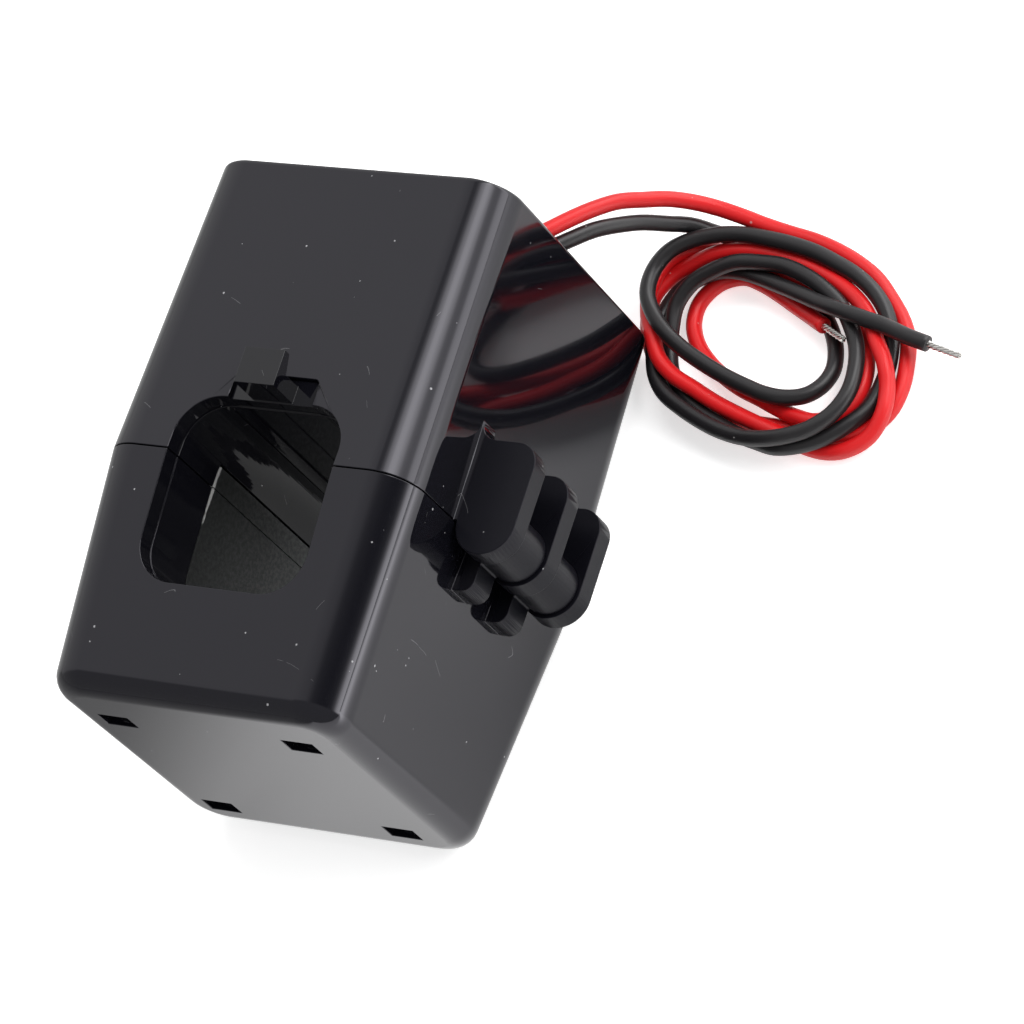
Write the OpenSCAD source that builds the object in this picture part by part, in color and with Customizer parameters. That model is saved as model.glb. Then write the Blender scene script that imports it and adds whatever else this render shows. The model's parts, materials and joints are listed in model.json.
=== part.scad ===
// Split-core current transformer: two hinged halves that clamp round a conductor.
// Millimetres. X across the width towards the hinge, Y along the height towards the leads,
// Z along the conductor. The origin is on the conductor window's axis, in the plane on which
// the transformer lies. Every sub-part is drawn from the middle of the parting plane and set
// in place by place().

/* [Housing] */
// Width of the housing at the parting plane, along X
case_w = 32; // [31:0.5:36]
// Depth of the housing at the parting plane, along Z
case_d = 34.2; // [34:0.2:38]
// Height of the fixed half, from the parting plane to the lead end
fixed_h = 28.7; // [28.5:0.1:34]
// Height of the moving half, from the parting plane to its end
moving_h = 22.4; // [22.2:0.1:26]
// Wall thickness of both halves
wall = 1.8; // [1.6:0.1:1.9]
// Radius of the four long corners
corner_r = 4; // [3.5:0.1:4.5]
// Radius of the moving half's end edges
end_r = 2; // [1.6:0.1:2.4]
// Gap between the two halves when shut
part_gap = 0.1; // [0.06:0.02:0.2]

/* [Conductor window] */
// Width of the window, along X
window_w = 17.1; // [16.5:0.1:17.4]
// Height of the window, along Y
window_h = 17.4; // [17:0.1:17.6]
// Corner radius of the window
window_r = 4; // [3:0.1:4.5]
// Distance of the parting plane above the window's axis
parting_y = 3.3; // [3:0.1:3.6]

/* [Core] */
// Thickness of the core strip
core_t = 3.4; // [3:0.1:3.5]
// Width of the core strip, along Z
core_b = 17.8; // [16:0.1:18]
// Distance of the core's middle behind the housing's middle
core_back = 1.4; // [1:0.1:1.6]

/* [Hinge] */
// Distance of the hinge axis from the middle of the housing
hinge_x = 19.25; // [19.2:0.05:19.6]
// Radius of the fixed half's hinge eyes
eye_r = 2.9; // [2.7:0.05:2.95]
// Radius of the moving half's knuckles
knuckle_r = 2.6; // [2.4:0.05:2.7]
// Pin diameter
pin_d = 2; // [1.6:0.1:2.2]
// Thickness of each hinge plate
plate_t = 2.15; // [1.9:0.05:2.3]
// Pitch of the hinge plates
plate_pitch = 6.65; // [6.5:0.05:6.8]

/* [Leads] */
// Outside diameter of each lead
lead_d = 1.5; // [1.3:0.05:1.6]
// Outer radius of the loose coil of leads
coil_r = 12.6; // [12:0.1:12.6]

/* [Hidden] */

$fn = 48;
eps = 0.01;

// Mould draft, as a fall per millimetre from the parting plane.
// The three numbers are for the two sides, the back and the front.
fixed_draft = [0.021, 0.027, 0.027];
moving_draft = [0.044, 0.077, 0.091];
fixed_end_r = 0.5;              // edge radius of the lead end

// The window is cut by the parting plane: its top is in the fixed half.
window_top = window_h / 2 - parting_y;
window_bottom = -window_h / 2 - parting_y;
window_x = window_w / 2;
lip_step = 0.12;                // the lining stands this much inside the window's edge
carrier_step = 0.2;             // and the matt carriers this much
lip_t = 0.85;                   // wall of the window's lining
skin_z = case_d / 2 - wall;     // inner face of the front and back walls

// The core strip, and the matt carrier that holds it.
core_in = window_x + 1.05;      // inner face of a core leg
core_out = core_in + core_t;
core_top = 16;                  // top of the fixed core's yoke
core_foot = -16.4;              // bottom of the moving core's yoke
core_z0 = -core_back - core_b / 2;
core_z1 = -core_back + core_b / 2;
carrier_wall = 1.4;
carrier_z0 = core_z0 - carrier_wall - 0.1;
carrier_z1 = core_z1 + carrier_wall + 0.1;
fixed_strip = 2.05;             // height of the carrier strip seen above the parting plane
strip_gap = 0.2;                // and the gap between it and the lining
plate_x = case_w / 2 - wall - 0.15;
plate_z = skin_z - 0.2;

// Hook moulded on the window lining, standing through a notch in the front wall.
hook_w = 4.1;
hook_out = 3.15;                // how far it stands out of the front face
hook_stem_y = [window_top + 0.05, 7.2];
hook_tip_y = 8.95;
hook_lip = [0.8, 1.35];         // thickness at the tip and at the stem
notch_w = 8.7;
notch_y = 7.85;
notch_floor = 0.45;             // depth of the lining's tab below the front face

// Hinge.
hinge_mid = 0.3;                // middle of the hinge, along Z
plate_out = hinge_x + eye_r;    // outer edge of the plates
plate_h = 7.8;
plate_round = 2.2;
plate_flare = 1.6;
knuckle_gap = 0.1;
knuckle_w = plate_pitch - plate_t - 2 * knuckle_gap;
leg_w = 3.05;
leg_out = 17.75;
leg_foot = -5.05;
pin_clear = 0.03;
pin_skin = 0.65;                // closed end of the pin's bore in the front plate

// Slots in the moving half's end, which take the carrier's feet.
slot_w = 3.2;
slot_d = 2.1;
slot_pitch = 19.17;
slot_mid = [-0.8, -1.4];
foot_play = 0.2;

// Latch on the side away from the hinge.
latch_w = 9;
latch_t = 1.3;
latch_gap = 0.3;
latch_top = 7.4;
latch_root = -6.5;
latch_window = [5.4, 3.2];      // width along Z and height along Y
catch_out = 0.5;

// Winding on the fixed core's yoke.
bobbin_x = 8.6;
bobbin_t = 0.8;
winding_t = 3;
flange_t = 0.9;
flange_rim = 0.5;
yoke_mid_y = core_top - core_t / 2;
yoke_mid_z = -core_back;

// Lead exit in the end wall: middle of the bush, and the two leads in it.
exit_mid = [7.6, -2.05];
exit_half = [0.7, -0.85];        // from the middle to the black lead
bush_r = 3;
bush_rim = 0.7;
bush_out = 0.8;
end_wall_y = fixed_h - wall;
board_y = core_top + 0.1 + bobbin_t + winding_t + flange_rim;
board_t = 1;
tip_d = 0.8;
tip_l = 3.6;

// Routes of the leads outside the coil, from the middle of the parting plane.
coil_mid = [28.4, 30.1];
coil_squash = 0.873;
coil_bore = 7;
coil_h = 4.4;
floor_z = -case_d / 2;
red_route = [
    [6.9, 29.5, -1.2], [6.9, 30.4, -1.2], [7.6, 31.6, -1.8], [9, 33.3, -2.7], [10.1, 35.1, -3.8],
    [11.2, 36.9, -5], [12.6, 38.3, -6.3], [14.2, 39.4, -7.8], [15.7, 40.4, -9.3], [17.4, 41.1, -10.8],
    [19.6, 41.1, -11.9], [21.8, 40.8, -12.6], [24.1, 40.4, -13.2], [26.4, 40.1, -13.8]];
black_route = [
    [8.3, 29.5, -2.9], [8.3, 30.4, -2.9], [8.9, 31.6, -3.5], [10.3, 33.3, -4.5], [11.5, 35, -5.7],
    [12.8, 36.4, -7.2], [14.1, 37.6, -8.8], [15.6, 38.5, -10.5], [17.2, 39.2, -12.1],
    [19.1, 39.4, -13.5], [21.2, 39.4, -14.8], [23.3, 38.9, -15.8]];
red_tail_route = [
    [23.8, 36, -15.9], [25.9, 34.9, -15.7], [28, 33.8, -15.4], [30.1, 32.7, -15.1],
    [32.2, 31.6, -14.6]];
black_tail_route = [
    [27, 35, -14], [29.3, 34.2, -13.7], [31.6, 33.4, -13.3], [33.8, 32.6, -12.9],
    [36.1, 32.1, -13], [38.5, 31.7, -13.4], [40.8, 31.2, -13.9], [43.1, 30.6, -14.1]];

// ---- Helpers -------------------------------------------------------------------------

module place() { translate([0, parting_y, case_d / 2]) children(); }

// Flat rounded rectangle of exact arcs, centred.
module rounded(w, h, r) {
    square([w - 2 * r, h], center = true);
    square([w, h - 2 * r], center = true);
    for (sx = [-1, 1], sy = [-1, 1]) translate([sx * (w / 2 - r), sy * (h / 2 - r)]) circle(r);
}

// A half of the housing, grown from the parting plane along +Y: drafted sides, round
// corners and a rounded end. inset shrinks it evenly, for the hollow inside.
module half_block(h, draft, edge_r, inset = 0) {
    top = h - inset;
    e = max(edge_r - inset, 0.3);
    steps = 6;
    hull() {
        slice(0, draft, inset, 0);
        for (i = [0:steps]) let (a = 90 * i / steps)
            slice(top - e + e * sin(a) - eps, draft, inset, e * (1 - cos(a)));
    }
}

module slice(y, draft, inset, cut) {
    hx = case_w / 2 - inset - draft[0] * y - cut;
    r = max(corner_r - inset - cut, 0.4);
    for (sx = [-1, 1], side = [-1, 1]) let (hz = case_d / 2 - inset - draft[side < 0 ? 1 : 2] * y - cut)
        translate([sx * (hx - r), y, side * (hz - r)]) rotate([-90, 0, 0]) cylinder(r = r, h = eps, $fn = 56);
}

// The window's outline grown by g, as a prism between two depths.
module window_prism(z0, z1, g = 0) {
    translate([0, -parting_y, z0]) linear_extrude(z1 - z0)
        rounded(window_w + 2 * g, window_h + 2 * g, window_r + g);
}

// Keeps what lies above the parting plane (side = 1) or below it (side = -1).
module one_side(side) {
    intersection() {
        children();
        translate([-40, side > 0 ? part_gap / 2 : -60 - part_gap / 2, -40]) cube([80, 60, 80]);
    }
}

// Layer between two depths that keeps to the draft of the front and back walls.
module layer(side, z0, z1, draft) {
    far = 30;
    translate([-40, 0, 0]) rotate([90, 0, 90]) linear_extrude(80)
        polygon([[0, z0], [side * far, z0 + draft[1] * far], [side * far, z1 - draft[2] * far], [0, z1]]);
}

// Round bar along Z.
module zbar(x, y, r, z0, z1) { translate([x, y, z0]) cylinder(r = r, h = z1 - z0); }

// Block between two corners.
module block(a, b) { translate(a) cube(b - a); }

// ---- Housing -------------------------------------------------------------------------

// One plate of the fixed half's hinge: flared root, round outer corner, round eye below.
module hinge_plate(z0) {
    face = case_w / 2 - 1;
    translate([0, 0, z0]) linear_extrude(plate_t) {
        translate([face, 0]) square([plate_out - face, plate_h - plate_round]);
        translate([face, 0]) square([plate_out - plate_round - face, plate_h]);
        translate([plate_out - plate_round, plate_h - plate_round]) circle(plate_round);
        translate([hinge_x, 0]) circle(eye_r);
        difference() {
            translate([face, plate_h - eps]) square([plate_flare + 0.9, plate_flare]);
            translate([face + plate_flare + 0.9, plate_h + plate_flare]) circle(plate_flare);
        }
    }
}

function plate_z0(i) = hinge_mid - plate_t / 2 + (1 - i) * plate_pitch;

module fixed_case() place() color([0.06, 0.06, 0.07]) {
    difference() {
        union() {
            one_side(1) half_block(fixed_h, fixed_draft, fixed_end_r);
            for (i = [0:2]) hinge_plate(plate_z0(i));
            latch_catch();
        }
        one_side(1) translate([0, -1, 0]) half_block(fixed_h + 1, fixed_draft, fixed_end_r, wall);
        window_prism(-case_d, case_d);
        // Notch for the hook's tab, above the window in the front wall.
        translate([0, 0, skin_z - 1]) linear_extrude(wall + 3) hook_notch();
        // Seat of the lead bush in the end wall.
        translate([exit_mid[0], end_wall_y - 2, exit_mid[1]]) rotate([-90, 0, 0]) cylinder(r = bush_r, h = wall + 4);
        // Bore for the hinge pin, closed in the front plate.
        zbar(hinge_x, 0, pin_d / 2, plate_z0(2) - 1, plate_z0(0) + plate_t - pin_skin);
    }
}

module hook_notch() {
    r = 0.6;
    translate([-notch_w / 2, window_top - 2]) square([notch_w, notch_y - window_top + 2 - r]);
    translate([-notch_w / 2 + r, window_top]) square([notch_w - 2 * r, notch_y - window_top]);
    for (s = [-1, 1]) translate([s * (notch_w / 2 - r), notch_y - r]) circle(r);
}

// Ramped catch that the moving half's latch window drops over.
module latch_catch() {
    face = case_w / 2 - fixed_draft[0] * 4;
    translate([0, 0, -latch_window[0] / 2 + 0.4]) linear_extrude(latch_window[0] - 0.8)
        polygon([[-face + 0.6, 2.6], [-face, 2.6], [-face - catch_out, 4.4], [-face - catch_out, 5.0], [-face + 0.6, 5.0]]);
}

// Knuckle of the moving half: round eye, and a leg down the housing's side.
module knuckle(z0) {
    translate([0, 0, z0]) linear_extrude(knuckle_w) {
        translate([hinge_x, 0]) circle(knuckle_r);
    }
    face = case_w / 2 - 1;
    translate([0, 0, z0]) linear_extrude(leg_w) {
        translate([face, leg_foot]) square([leg_out - 1.1 - face, 3.9]);
        translate([face, leg_foot + 1.1]) square([leg_out - face, 2.8]);
        translate([leg_out - 1.1, leg_foot + 1.1]) circle(1.1);
        polygon([[face, -2.4], [leg_out, -2.4], [hinge_x, -1.2], [hinge_x - 1.2, 0.6],
                 [hinge_x - knuckle_r + 0.15, 0], [case_w / 2 - 0.05, -0.6], [face, -0.6]]);
    }
}

module moving_case() place() color([0.06, 0.06, 0.07]) {
    difference() {
        union() {
            difference() {
                one_side(-1) mirror([0, 1, 0]) half_block(moving_h, moving_draft, end_r);
                one_side(-1) translate([0, 1, 0]) mirror([0, 1, 0])
                    half_block(moving_h + 1, moving_draft, end_r, wall);
                window_prism(-case_d, case_d);
            }
            // Lips round the window behind the front and back walls.
            one_side(-1) window_lip(carrier_z1 + 0.05, skin_z + 0.02);
            one_side(-1) window_lip(-skin_z - 0.02, carrier_z0 - 0.05);
            for (i = [0:1]) knuckle(plate_z0(i + 1) + plate_t + knuckle_gap);
            latch_arm();
        }
        for (sx = [-1, 1], sz = [-1, 1])
            translate([slot_mid[0] + sx * slot_pitch / 2, -moving_h, slot_mid[1] + sz * slot_pitch / 2])
                cube([slot_w, 8, slot_d], center = true);
        zbar(hinge_x, 0, pin_d / 2 + pin_clear, plate_z0(2), plate_z0(0) + plate_t);
    }
}

module window_lip(z0, z1) {
    intersection() {
        difference() {
            window_prism(z0 - 4, z1 + 4, lip_t);
            window_prism(z0 - 5, z1 + 5, -lip_step);
        }
        layer(-1, z0, z1, [0, z0 < 0 ? moving_draft[1] : -moving_draft[2], z0 < 0 ? -moving_draft[1] : moving_draft[2]]);
    }
}

// Springy arm with a window, standing a little off the housing's side.
module latch_arm() {
    x0 = -case_w / 2 - latch_gap;
    foot = -case_w / 2 + moving_draft[0] * 6 + 0.5;
    difference() {
        union() {
            block([x0 - latch_t, latch_root + 1, -latch_w / 2], [x0, latch_top, latch_w / 2]);
            block([x0 - latch_t, latch_root, -latch_w / 2], [foot, latch_root + 3.4, latch_w / 2]);
        }
        block([x0 - latch_t - 1, 5.6 - latch_window[1], -latch_window[0] / 2], [x0 + 0.2, 5.6, latch_window[0] / 2]);
    }
}

// Springs from the window's edge in the fixed half: lining of the window, with the hook.
module window_saddle() place() color([0.07, 0.07, 0.08]) {
    difference() {
        union() {
            intersection() {
                one_side(1) window_prism(-skin_z, skin_z, lip_t);
                layer(1, 0.02 - skin_z, skin_z - 0.02, fixed_draft);
            }
            // Tab that fills the notch, and the hook on it.
            translate([0, 0, skin_z - 0.6]) linear_extrude(0.6 + wall - notch_floor - fixed_draft[2] * 6)
                intersection() {
                    offset(delta = -0.05) hook_notch();
                    translate([-10, window_top + 0.02]) square([20, 20]);
                }
            hook();
        }
        window_prism(-case_d, case_d, -lip_step);
        // The matt carrier shows here, below the lining.
        block([-20, -1, carrier_z0 - 0.05], [20, fixed_strip + strip_gap, carrier_z1 + 0.05]);
    }
}

module hook() {
    front = case_d / 2 - fixed_draft[2] * 7;
    translate([-hook_w / 2, 0, 0]) rotate([90, 0, 90]) linear_extrude(hook_w)
        polygon([[hook_stem_y[0] + 0.1, skin_z - 0.5], [hook_stem_y[0] + 0.1, front + hook_out],
                 [hook_tip_y, front + hook_out], [hook_tip_y, front + hook_out - hook_lip[0]],
                 [hook_stem_y[1], front + hook_out - hook_lip[1]], [hook_stem_y[1], skin_z - 0.5]]);
}

// ---- Core and carriers -----------------------------------------------------------------

// Flange plates beside the window, cut for the core's legs. side is 1 or -1 in Y.
module carrier_plates(side, t) {
    y0 = side > 0 ? part_gap / 2 : -t;
    y1 = side > 0 ? t : -part_gap / 2;
    for (sx = [-1, 1]) mirror([sx < 0 ? 1 : 0, 0, 0]) {
        block([window_x - 1, y0, carrier_z0], [plate_x, y1, carrier_z1]);
        block([window_x + lip_t + 0.1, y0, -plate_z], [plate_x - 2.6, y1, plate_z]);
        block([window_x + lip_t + 0.1, y0, -plate_z + 2.6], [plate_x, y1, plate_z - 2.6]);
    }
}

module core_legs(y0, y1, g) {
    for (sx = [-1, 1]) mirror([sx < 0 ? 1 : 0, 0, 0])
        block([core_in - g, y0, core_z0 - g], [core_out + g, y1, core_z1 + g]);
}

module fixed_carrier() place() color([0.32, 0.34, 0.33]) {
    saddle_top = window_top + lip_t + 0.1;
    difference() {
        union() {
            carrier_plates(1, fixed_strip);
            // Front and back portals that join the two sides over the window's lining.
            for (z = [carrier_z0, core_z1 + 0.1])
                block([-core_out - 0.1, fixed_strip - 0.5, z], [core_out + 0.1, saddle_top + 1.2, z + carrier_wall]);
        }
        window_prism(carrier_z0 - 1, carrier_z1 + 1, -carrier_step);
        intersection() {
            window_prism(-case_d, case_d, lip_t + 0.1);
            block([-20, fixed_strip - eps, -20], [20, 20, 20]);
        }
        core_legs(-1, 20, 0.05);
    }
}

module u_core(side, far) {
    inner = abs(far) - core_t;
    r = 2.5;
    translate([0, 0, core_z0]) linear_extrude(core_b) scale([1, side]) difference() {
        union() {
            translate([-core_out, part_gap / 2]) square([2 * core_out, abs(far) - part_gap / 2 - r]);
            translate([-core_out + r, part_gap / 2]) square([2 * (core_out - r), abs(far) - part_gap / 2]);
            for (s = [-1, 1]) translate([s * (core_out - r), abs(far) - r]) circle(r);
        }
        translate([-core_in, -1]) square([2 * core_in, inner + 1]);
    }
}

module fixed_core() place() color([0.45, 0.45, 0.46]) u_core(1, core_top);

module moving_core() place() color([0.45, 0.45, 0.46]) u_core(-1, core_foot);

module core_carrier() place() color([0.32, 0.34, 0.33]) {
    difference() {
        union() {
            carrier_plates(-1, 1.4);
            intersection() {
                one_side(-1) window_prism(carrier_z0, carrier_z1, lip_t);
                layer(-1, carrier_z0, carrier_z1, moving_draft);
            }
            for (z = [carrier_z0, core_z1 + 0.1])
                block([-core_out - 0.1, core_foot, z], [core_out + 0.1, -0.5, z + carrier_wall]);
            carrier_feet();
        }
        window_prism(-case_d, case_d, -carrier_step);
        core_legs(-30, 1, 0.05);
        block([-core_in - 1, core_foot - 0.05, core_z0 - 0.05], [core_in + 1, core_foot + core_t + 0.05, core_z1 + 0.05]);
        // Room for the housing's lips, which follow its slanting front and back walls.
        intersection() {
            window_prism(carrier_z1 - 3, carrier_z1 + 3, lip_t + 0.05);
            layer(-1, carrier_z1, carrier_z1 + 4, [0, -moving_draft[2], moving_draft[2]]);
        }
        intersection() {
            window_prism(carrier_z0 - 3, carrier_z0 + 3, lip_t + 0.05);
            layer(-1, carrier_z0 - 4, carrier_z0, [0, moving_draft[1], -moving_draft[1]]);
        }
    }
}

// Four feet that snap into the slots of the moving half's end.
module carrier_feet() {
    for (sx = [-1, 1], sz = [-1, 1]) {
        x = slot_mid[0] + sx * slot_pitch / 2;
        z = slot_mid[1] + sz * slot_pitch / 2;
        block([x - slot_w / 2 + foot_play, -moving_h + 1, z - slot_d / 2 + foot_play],
              [x + slot_w / 2 - foot_play, core_foot + 0.5, z + slot_d / 2 - foot_play]);
    }
}

module core_pad() place() color([0.2, 0.2, 0.2])
    block([-7.5, -moving_h + wall + 0.05, core_z0 + 2], [7.5, core_foot - 0.02, core_z1 - 2]);

// ---- Winding ---------------------------------------------------------------------------

// Rounded ring round the yoke, between inner and outer growth of the strip's section.
module yoke_ring(x0, x1, g_in, g_out, r_out) {
    translate([x0, yoke_mid_y, yoke_mid_z]) rotate([0, 90, 0]) linear_extrude(x1 - x0) difference() {
        rounded(core_b + 2 * g_out, core_t + 2 * g_out, r_out);
        square([core_b + 2 * g_in, core_t + 2 * g_in], center = true);
    }
}

module bobbin() place() color([0.85, 0.83, 0.76]) {
    yoke_ring(-bobbin_x, bobbin_x, 0.1, 0.1 + bobbin_t, 0.4);
    for (s = [-1, 1]) yoke_ring(s * bobbin_x - (s > 0 ? flange_t : 0), s * bobbin_x + (s > 0 ? 0 : flange_t),
                                0.1, 0.1 + bobbin_t + winding_t + flange_rim, 1);
}

module winding() place() color([0.72, 0.38, 0.18])
    yoke_ring(-bobbin_x + flange_t, bobbin_x - flange_t, 0.1 + bobbin_t, 0.1 + bobbin_t + winding_t, 1.6);

module winding_tape() place() color([0.85, 0.72, 0.2])
    difference() {
        yoke_ring(-bobbin_x + flange_t, bobbin_x - flange_t, 0, 0.1 + bobbin_t + winding_t + 0.25, 1.8);
        translate([-bobbin_x, yoke_mid_y, yoke_mid_z]) rotate([0, 90, 0]) linear_extrude(2 * bobbin_x)
            rounded(core_b + 2 * (0.1 + bobbin_t + winding_t), core_t + 2 * (0.1 + bobbin_t + winding_t), 1.6);
    }

module lead_board() place() color([0.12, 0.4, 0.22])
    block([-9, board_y, exit_mid[1] - 5], [10, board_y + board_t, exit_mid[1] + 5]);

// ---- Leads -----------------------------------------------------------------------------

module lead_bush() place() color([0.09, 0.09, 0.09]) {
    difference() {
        translate([exit_mid[0], 0, exit_mid[1]]) rotate([-90, 0, 0]) rotate_extrude()
            polygon([[0, end_wall_y - 1], [bush_r + bush_rim, end_wall_y - 1], [bush_r + bush_rim, end_wall_y],
                     [bush_r, end_wall_y], [bush_r, fixed_h], [bush_r + bush_rim, fixed_h],
                     [bush_r + bush_rim - 0.3, fixed_h + bush_out], [0, fixed_h + bush_out]]);
        for (s = [-1, 1]) lead_rod(s, end_wall_y - 2, fixed_h + 2);
    }
}

module lead_rod(s, y0, y1) {
    translate([exit_mid[0] + s * exit_half[0], y0, exit_mid[1] + s * exit_half[1]])
        rotate([-90, 0, 0]) cylinder(d = lead_d, h = y1 - y0);
}

module inner_lead_red() place() color([0.9, 0.12, 0.14]) lead_rod(-1, board_y + board_t, fixed_h + bush_out);

module inner_lead_black() place() color([0.08, 0.08, 0.08]) lead_rod(1, board_y + board_t, fixed_h + bush_out);

module hinge_pin() place() color([0.7, 0.7, 0.72])
    zbar(hinge_x, 0, pin_d / 2, plate_z0(2) + 0.1, plate_z0(0) + plate_t - pin_skin);

// Smooth curve through a route's points.
function spline(p0, p1, p2, p3, t) =
    0.5 * (2 * p1 + (p2 - p0) * t + (2 * p0 - 5 * p1 + 4 * p2 - p3) * t * t
           + (3 * p1 - p0 - 3 * p2 + p3) * t * t * t);
function smooth(r, n) = let (last = len(r) - 1) [
    for (i = [0:last - 1], k = [0:n - 1])
        spline(r[max(i - 1, 0)], r[i], r[i + 1], r[min(i + 2, last)], k / n),
    r[last]];
function unit(v) = v / norm(v);
function ring(p, t, r, sides) =
    let (a = unit(cross(t, [0, 0, 1])), b = cross(a, t))
    [for (k = [0:sides - 1]) p + r * (cos(360 * k / sides) * a + sin(360 * k / sides) * b)];

// Round tube swept along a route.
module tube(route, d, sides = 8) {
    pts = smooth(route, 2);
    n = len(pts);
    rings = [for (i = [0:n - 1])
        ring(pts[i], unit(pts[min(i + 1, n - 1)] - pts[max(i - 1, 0)]), d / 2, sides)];
    polyhedron(
        points = [for (r = rings) each r],
        faces = concat(
            [[for (k = [0:sides - 1]) k]],
            [for (i = [0:n - 2], k = [0:sides - 1]) let (m = (k + 1) % sides)
                [i * sides + k, (i + 1) * sides + k, (i + 1) * sides + m, i * sides + m]],
            [[for (k = [sides - 1:-1:0]) (n - 1) * sides + k]]));
}

module red_lead() place() color([0.9, 0.12, 0.14]) tube(red_route, lead_d);

module black_lead() place() color([0.08, 0.08, 0.08]) tube(black_route, lead_d);

module red_tail() place() color([0.9, 0.12, 0.14]) tube(red_tail_route, lead_d);

module black_tail() place() color([0.08, 0.08, 0.08]) tube(black_tail_route, lead_d);

// Outer shape of the loose coil.
module lead_coil() place() color([0.5, 0.1, 0.1])
    translate([coil_mid[0], coil_mid[1], floor_z]) scale([1, coil_squash, 1]) rotate_extrude() {
        r = coil_h / 2;
        translate([coil_bore + r, 0]) square([coil_r - coil_bore - 2 * r, coil_h]);
        translate([coil_bore + r, r]) circle(r);
        translate([coil_r - r, r]) circle(r);
    }

// Stripped and tinned end of a lead, on from its last point.
module tip(route) {
    last = route[len(route) - 1];
    along = unit(last - route[len(route) - 2]);
    translate(last) rotate([0, acos(along[2]), atan2(along[1], along[0])]) {
        cylinder(d = tip_d, h = tip_l - 0.4, $fn = 24);
        translate([0, 0, tip_l - 0.4]) cylinder(d1 = tip_d, d2 = tip_d / 2, h = 0.4, $fn = 24);
    }
}

module red_tip() place() color([0.8, 0.8, 0.78]) tip(red_tail_route);

module black_tip() place() color([0.8, 0.8, 0.78]) tip(black_tail_route);

fixed_case();
window_saddle();
fixed_carrier();
fixed_core();
bobbin();
winding();
winding_tape();
lead_board();
lead_bush();
inner_lead_red();
inner_lead_black();
hinge_pin();
moving_case();
core_carrier();
moving_core();
core_pad();
red_lead();
black_lead();
lead_coil();
red_tail();
black_tail();
red_tip();
black_tip();
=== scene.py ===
"""Split-core current transformer: its glossy housing, matt carriers, wound core and coiled leads."""

import json
import math

import bmesh
import bpy
from bpy.props import FloatProperty, FloatVectorProperty, IntProperty, PointerProperty
from mathutils import Matrix, Vector


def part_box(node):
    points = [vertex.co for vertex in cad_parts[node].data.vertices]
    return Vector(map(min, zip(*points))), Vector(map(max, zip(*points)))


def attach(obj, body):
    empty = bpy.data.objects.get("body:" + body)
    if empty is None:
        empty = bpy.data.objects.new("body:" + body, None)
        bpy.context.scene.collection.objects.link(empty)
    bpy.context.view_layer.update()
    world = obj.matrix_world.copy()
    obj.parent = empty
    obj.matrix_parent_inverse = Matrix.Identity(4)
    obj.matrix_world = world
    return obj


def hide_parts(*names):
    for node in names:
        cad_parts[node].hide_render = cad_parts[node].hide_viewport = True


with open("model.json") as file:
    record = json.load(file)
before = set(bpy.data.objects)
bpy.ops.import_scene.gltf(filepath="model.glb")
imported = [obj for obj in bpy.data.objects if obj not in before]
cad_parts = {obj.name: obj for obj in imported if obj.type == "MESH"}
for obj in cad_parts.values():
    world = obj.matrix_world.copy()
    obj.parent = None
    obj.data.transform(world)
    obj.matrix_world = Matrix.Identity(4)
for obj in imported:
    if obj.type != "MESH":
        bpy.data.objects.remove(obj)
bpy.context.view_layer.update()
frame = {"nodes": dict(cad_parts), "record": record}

bl_info = {
    "name": "Split-core current transformer",
    "version": (1, 0, 0),
    "blender": (4, 5, 0),
    "location": "3D View > Sidebar > Transformer",
    "description": "Dresses the solids of a split-core current transformer and lays out its leads",
    "category": "Object",
}

MM = 0.001

# Where the hinge's satin plates begin, along X.
HINGE_SIDE = 0.01625
# Height of the carriers' front edge, where the moulding left a burr; a painted highlight lies along it.
BURR_HIGHLIGHT_HEIGHT = 0.02583
# Heights between which painted light makes the carriers paler, from the front towards the back, where
# light comes in through the back opening.
CARRIER_FADE = (0.0262, 0.0122)
# The core's laminations, and how much further out they lie along Y than along X.
SHEETS_PER_METRE = 3600.0
CORE_STRETCH = 0.0036
# Faces that meet more sharply than this get a round edge, in degrees.
EDGE_ANGLE = 32.0

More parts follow.
